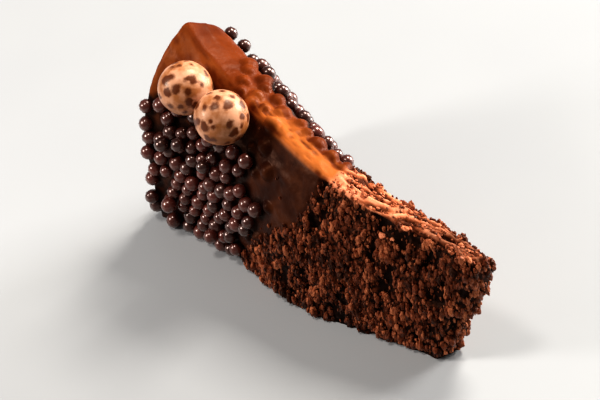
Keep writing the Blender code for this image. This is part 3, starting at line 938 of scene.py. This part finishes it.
# %% [markdown]
# ## Materials
#
# All the finishes are built from the same small parts: a Principled shader, noise read from the
# object's own coordinates, a colour ramp and a bump. One helper adds a node and fills its sockets
# with values or links, which keeps each recipe readable. Numbers that are the same all over a
# surface go straight onto the shader.


# %% Nodes, ramps and noise
def add(tree, kind, sockets=None, **fields):
    """Adds a node, sets its fields, and gives each named socket a value or a link."""
    node = tree.nodes.new(kind)
    for field, value in fields.items():
        setattr(node, field, value)
    for socket, value in (sockets or {}).items():
        if isinstance(value, bpy.types.NodeSocket):
            tree.links.new(value, node.inputs[socket])
        else:
            node.inputs[socket].default_value = value
    return node


def ramp(tree, factor, stops, colours):
    """A colour ramp, with a colour for each stop from 0 to 1."""
    node = add(tree, "ShaderNodeValToRGB", {"Fac": factor})
    while len(node.color_ramp.elements) < len(stops):
        node.color_ramp.elements.new(1.0)
    for element, position, colour in zip(node.color_ramp.elements, stops, colours):
        element.position = position
        element.color = (*colour, 1.0)
    return node.outputs["Color"]


def noise(tree, size, detail=3.0, distortion=0.0):
    """Blender's noise texture with swells of about this many millimetres."""
    place = add(tree, "ShaderNodeTexCoord").outputs["Object"]
    node = add(tree, "ShaderNodeTexNoise", {"Vector": place, "Scale": 1000.0 / size,
                                            "Detail": detail, "Distortion": distortion})
    return node.outputs["Fac"]


print("noise with swells of 2 mm has the scale", 1000.0 / 2)


# %% Blends, bumps and finishes
def remap(tree, value, start, end, low=0.3, high=0.7):
    """Carries the range low to high, where most of a noise lies, onto start to end, and stops
    at both."""
    return add(tree, "ShaderNodeMapRange", {"Value": value, "From Min": low, "From Max": high,
                                            "To Min": start, "To Max": end}).outputs["Result"]


def mix(tree, factor, first, second):
    """A blend of two colours."""
    node = add(tree, "ShaderNodeMix", data_type="RGBA")
    for index, value in ((0, factor), (6, first), (7, second)):
        if isinstance(value, bpy.types.NodeSocket):
            tree.links.new(value, node.inputs[index])
        else:
            node.inputs[index].default_value = value if index == 0 else (*value, 1.0)
    return node.outputs[2]


def blend(tree, factor, first, second):
    """A blend of two numbers."""
    return add(tree, "ShaderNodeMix", {0: factor, 2: first, 3: second}).outputs[0]


def total(tree, first, second):
    """The sum of two numbers."""
    return add(tree, "ShaderNodeMath", {0: first, 1: second}, operation="ADD").outputs[0]


def bump(tree, height, distance, strength=1.0):
    """A bump from a height that runs from 0 to 1, its full height given in millimetres."""
    return add(tree, "ShaderNodeBump", {"Height": height, "Distance": distance * MM,
                                        "Strength": strength}).outputs["Normal"]


def attribute(tree, name):
    """One of the piece's own numbers."""
    return add(tree, "ShaderNodeAttribute", attribute_name=name).outputs["Fac"]


def finish(name, recipe, **constants):
    """A material: constants go straight onto the shader, and the recipe returns what is linked."""
    item = bpy.data.materials.new(name)
    item.use_nodes = True
    tree = item.node_tree
    shader = tree.nodes["Principled BSDF"]
    for socket, value in constants.items():
        shader.inputs[socket.replace("_", " ")].default_value = value
    for socket, value in recipe(tree).items():
        tree.links.new(value, shader.inputs[socket])
    print("finish:", name, "with", len(tree.nodes), "nodes")
    return item


print("a bump of 0.25 mm is", 0.25 * MM, "m high to the shader")

# %% [markdown]
# ## The wedge's icing and crumb coat
#
# The icing is dark chocolate with a soft gloss. Its colour also holds painted light: almost black
# on the side as painted shade, a warmer brown on the ridge as painted light, an orange-brown
# painted glow in streaks along the ridge's lit edge, and painted shade close to the pearls. The
# crumb coat is the cake itself, moist and redder, with painted highlights on the streaks' crests
# and painted shade, nearly black, in the hollows. They could be two materials with a hard border,
# but the coat's share blends them in one. Chocolate's gleam is tinted warm and kept weak, or the
# pale floor would turn it grey.

# %% Chocolate icing
# Lit and shaded copies of the icing and crumb colours: painted light on the top, painted shade on
# the side, a painted glow at the ridge's lit edge, painted shade in the hollows and under the
# pearls
ICING_SHADED_SIDE = (0.018, 0.004, 0.002), (0.034, 0.008, 0.003), (0.064, 0.017, 0.006)
SHADE_UNDER_PEARLS = (0.007, 0.0018, 0.001)
ICING_LIT_TOP = (0.085, 0.013, 0.002), (0.19, 0.034, 0.004)
ICING_PAINTED_GLOW = (0.10, 0.018, 0.003), (0.42, 0.112, 0.022)
CRUMB_SHADED_SIDE = (0.025, 0.006, 0.003), (0.185, 0.043, 0.017), (0.47, 0.147, 0.062)
CRUMB_LIT_TOP = (0.075, 0.015, 0.005), (0.48, 0.125, 0.047), (0.86, 0.310, 0.155)
SHADE_IN_GAPS, SHADE_IN_GAPS_LIT = (0.005, 0.0015, 0.001), (0.045, 0.008, 0.002)


def icing_recipe(tree):
    """Icing and crumb colours by facing up, which paints light on the top and shade on the side,
    and by noise, with a painted glow at the ridge's lit edge and painted shade under the pearls and
    in the hollows, blended by the coat's share; a bump of finer noise on the coat than on the
    icing."""
    coat_share, hollow_share = attribute(tree, "coat"), attribute(tree, "hollow")
    lit = attribute(tree, "top")
    streaks = noise(tree, 9.0, detail=4.0, distortion=0.6)
    patches = noise(tree, 6.0, detail=3.0, distortion=0.4)
    shaded_side_icing = ramp(tree, patches, (0.36, 0.52, 0.70), ICING_SHADED_SIDE)
    lit_far_icing = ramp(tree, streaks, (0.30, 0.70), ICING_LIT_TOP)
    # the streaks' crests push the glow paler, a painted highlight
    drawn = blend(tree, 0.6, streaks, attribute(tree, "crest"))
    glow_icing = ramp(tree, drawn, (0.25, 0.70), ICING_PAINTED_GLOW)
    # painted glow along the ridge's lit edge
    lit_top_icing = mix(tree, attribute(tree, "near"), lit_far_icing, glow_icing)
    # painted light on the top, painted shade on the side
    icing = mix(tree, lit, shaded_side_icing, lit_top_icing)
    # painted shade on the icing close to the pearls
    icing = mix(tree, attribute(tree, "under"), icing, SHADE_UNDER_PEARLS)
    grains = noise(tree, 1.3, detail=4.0)
    # the side's crumbs, with painted shade between the grains
    shaded_side_crumb = ramp(tree, grains, (0.45, 0.75), (SHADE_IN_GAPS, CRUMB_SHADED_SIDE[1]))
    # the streaks' crests push the lit crumbs paler, a painted highlight
    fibre = blend(tree, 0.35, attribute(tree, "crest"), grains)
    lit_top_crumb = ramp(tree, fibre, (0.20, 0.50, 0.80), CRUMB_LIT_TOP)
    # painted shade in the crumb coat's hollows, a little lighter where the top's painted light
    # falls
    gap = mix(tree, lit, SHADE_IN_GAPS, SHADE_IN_GAPS_LIT)
    crumb = mix(tree, hollow_share, mix(tree, lit, shaded_side_crumb, lit_top_crumb), gap)
    rough_icing = remap(tree, noise(tree, 5.0), 0.32, 0.50)
    rough = blend(tree, coat_share, rough_icing, 0.50)
    height = blend(tree, coat_share, noise(tree, 2.2, 2.0), noise(tree, 0.7, 5.0))
    return {"Base Color": mix(tree, coat_share, icing, crumb), "Roughness": rough,
            "Normal": bump(tree, height, 0.25, 0.8)}


WARM_GLEAM = (1.0, 0.45, 0.24, 1.0)
icing = finish("chocolate_icing", icing_recipe, Specular_IOR_Level=0.10, Specular_Tint=WARM_GLEAM)

# %% [markdown]
# ## Loose crumbs and pearls
#
# Real crumbs differ, so each crumb's own number shifts its colour along the ramp, and a slow
# noise shifts whole clumps. A crumb that faces up takes the ramp of painted light, one on the side
# the ramp of painted shade. The pearls have a harder gloss under a thin clear coat, and each has
# its own depth of chocolate.

# %% Crumb and pearl shells
PEARL_COLOURS = (0.020, 0.0034, 0.002), (0.095, 0.017, 0.011)


def crumb_recipe(tree):
    """A level made of grains, the crumb's own number and the clump picks the colour, from the
    side's ramp of painted shade or the top's ramp of painted light."""
    grains = noise(tree, 0.9, detail=4.0)
    own = remap(tree, attribute(tree, "tint"), -0.28, 0.28, low=0.0, high=1.0)
    clump = remap(tree, noise(tree, 9.0, detail=1.0), -0.12, 0.12, low=0.35, high=0.65)
    level = total(tree, total(tree, grains, own), clump)
    stops = (0.24, 0.55, 0.86)
    shaded_colour = ramp(tree, level, stops, CRUMB_SHADED_SIDE)
    lit_colour = ramp(tree, level, stops, CRUMB_LIT_TOP)
    colour = mix(tree, attribute(tree, "top"), shaded_colour, lit_colour)
    return {"Base Color": colour, "Roughness": remap(tree, grains, 0.34, 0.58),
            "Normal": bump(tree, noise(tree, 0.45, 4.0), 0.2, 0.9)}


def pearl_recipe(tree):
    """A blend of dark and lighter chocolate by the pearl's own number, unevenly glossy."""
    colour = ramp(tree, attribute(tree, "tint"), (0.0, 1.0), PEARL_COLOURS)
    return {"Base Color": colour, "Roughness": remap(tree, noise(tree, 1.5), 0.24, 0.36),
            "Normal": bump(tree, noise(tree, 1.2, 3.0), 0.12, 0.6)}


crumb = finish("cake_crumb", crumb_recipe, Specular_IOR_Level=0.30, Specular_Tint=WARM_GLEAM)
pearl = finish("pearl_shell", pearl_recipe, Specular_IOR_Level=0.80,
               Specular_Tint=(1.0, 0.62, 0.50, 1.0), Coat_Weight=0.60, Coat_Roughness=0.16)

# %% [markdown]
# ## The speckled shell
#
# A malt ball's shell is pale caramel, clouded with tan. Where the distance to a speck's edge
# falls below zero it is dark brown. Noise is added to that distance first, so that no speck is a
# clean disc.

# %% Speckled shell
SHELL_COLOURS = (0.35, 0.117, 0.034), (0.61, 0.285, 0.155)
SPECK_COLOUR = (0.100, 0.018, 0.001)


def shell_recipe(tree):
    """Pale and tan by noise, and speck brown where the ragged distance is below zero."""
    ragged = remap(tree, noise(tree, 1.5, detail=2.0), -0.45, 0.45)
    edge = total(tree, attribute(tree, "speck"), ragged)
    speck = remap(tree, edge, 0.0, 1.0, low=0.34, high=-0.38)
    base = ramp(tree, noise(tree, 4.0), (0.40, 0.58), SHELL_COLOURS)
    return {"Base Color": mix(tree, speck, base, SPECK_COLOUR),
            "Roughness": remap(tree, noise(tree, 2.0), 0.32, 0.44),
            "Normal": bump(tree, noise(tree, 0.9, 3.0), 0.10, 0.5)}


shell = finish("malt_shell", shell_recipe, Specular_IOR_Level=0.42,
               Specular_Tint=(1.0, 0.80, 0.62, 1.0))

# %% [markdown]
# ## Dressing the pieces
#
# Each piece gets its material and rides on the one body, and the solids it replaces are hidden.

# %% Materials, bodies and replaced solids
DRESS = (
    (wedge, icing, "chocolate_cake"),
    (coarse_crumbs, crumb, "crumb_coat"),
    (fine_crumbs, crumb, "crumb_coat"),
    (pearls, pearl, "crisp_pearl"),
    (balls[0], shell, "malt_shell"),
    (balls[1], shell, "malt_shell"),
)
for item, material, slot in DRESS:
    item.data.materials.append(material)
    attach(item, "root")
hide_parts("cake_slice")
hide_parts("malt_ball_back")
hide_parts("malt_ball_front")
print("dressed:", len(DRESS), "pieces")

# %% [markdown]
# ## Floor, light and camera
#
# The slice stands on a plain pale floor. Most light comes from the right, as in the photograph: a
# key light high up and a broad one low down, which make the ridge glow and leave the left side
# dark. A small light above and a smaller one low at the left put gleams on the pearls, and a pale
# sky fills the shadows. An image of a studio could do the same, but lamps need no other file.

# %% Floor
FLOOR_REACH, FLOOR_TILES = 900.0, 12
FLOOR_DROP = 0.02           # the floor lies this far under the base, so the two don't flicker
FLOOR_GREYS = (0.36, 0.36, 0.36), (0.39, 0.39, 0.385)


def floor_recipe(tree):
    """Two greys, close together, by slow noise."""
    return {"Base Color": ramp(tree, noise(tree, 120.0), (0.3, 0.7), FLOOR_GREYS)}


floor_line = np.linspace(-FLOOR_REACH, FLOOR_REACH, FLOOR_TILES + 1)
floor_x, floor_y = np.meshgrid(floor_line, floor_line, indexing="ij")
floor_places = np.stack([floor_x, floor_y, 0 * floor_x - FLOOR_DROP], axis=-1).reshape(-1, 3)
across = FLOOR_TILES + 1
tile = np.arange(FLOOR_TILES)[:, None] * across + np.arange(FLOOR_TILES)
floor_faces = np.stack([tile, tile + across, tile + across + 1, tile + 1], axis=-1).reshape(-1, 4)
floor = piece_from("floor", floor_places, floor_faces.tolist())
floor.data.materials.append(finish("pale_floor", floor_recipe, Roughness=0.45))
print("floor:", len(floor_faces), "faces")


# %% Lights
LIGHTS = (
    # name, place, size, power, colour
    ("key", (0.62, 0.20, 0.80), 0.32, 12.0, (1.0, 0.97, 0.92)),
    ("window", (1.00, -0.05, 0.28), 0.40, 18.0, (1.0, 1.0, 1.0)),
    ("fill", (-0.24, 0.02, 0.92), 0.16, 3.0, (1.0, 0.96, 0.92)),
    ("rim", (-0.30, 0.14, 0.20), 0.08, 0.85, (1.0, 0.97, 0.95)),
)
LIGHT_AIM = Vector((0.0, 0.0, 0.02))
SKY_COLOUR, SKY_STRENGTH = (0.95, 0.97, 1.0, 1.0), 0.18


def soft_light(name, place, size, power, colour):
    """A square area light that looks at the middle of the slice."""
    data = bpy.data.lights.new(name, "AREA")
    data.shape = "SQUARE"
    data.size = size
    data.energy = power
    data.color = colour
    item = bpy.data.objects.new(name, data)
    item.location = place
    item.rotation_euler = (LIGHT_AIM - Vector(place)).to_track_quat("-Z", "Y").to_euler()
    bpy.context.scene.collection.objects.link(item)


for light in LIGHTS:
    soft_light(*light)
world = bpy.data.worlds.new("pale_sky")
world.use_nodes = True
sky = world.node_tree.nodes["Background"]
sky.inputs["Color"].default_value = SKY_COLOUR
sky.inputs["Strength"].default_value = SKY_STRENGTH
bpy.context.scene.world = world
bpy.context.scene.view_settings.view_transform = "Standard"
bpy.context.scene.view_settings.look = "Medium High Contrast"
print("lights:", [light[0] for light in LIGHTS])

# %% Camera
CAMERA_PLACE = Vector((-0.1944, -0.5115, 0.4720))
CAMERA_AIM = Vector((-0.001, 0.002, 0.025))
CAMERA_ROLL = math.radians(-12.6)       # the photograph was taken with a tilted camera
LENS_FOR_WIDTH = 4.75                   # focal length over the width of the picture
lens_data = bpy.data.cameras.new("camera")
lens_data.sensor_width = 36.0
lens_data.lens = 36.0 * LENS_FOR_WIDTH
lens_data.clip_end = 10.0
camera = bpy.data.objects.new("camera", lens_data)
look = (CAMERA_AIM - CAMERA_PLACE).to_track_quat("-Z", "Y").to_matrix().to_4x4()
camera.matrix_world = (Matrix.Translation(CAMERA_PLACE) @ look
                       @ Matrix.Rotation(CAMERA_ROLL, 4, "Z"))
bpy.context.scene.collection.objects.link(camera)
bpy.context.scene.camera = camera
print("camera lens:", round(lens_data.lens, 1), "mm")
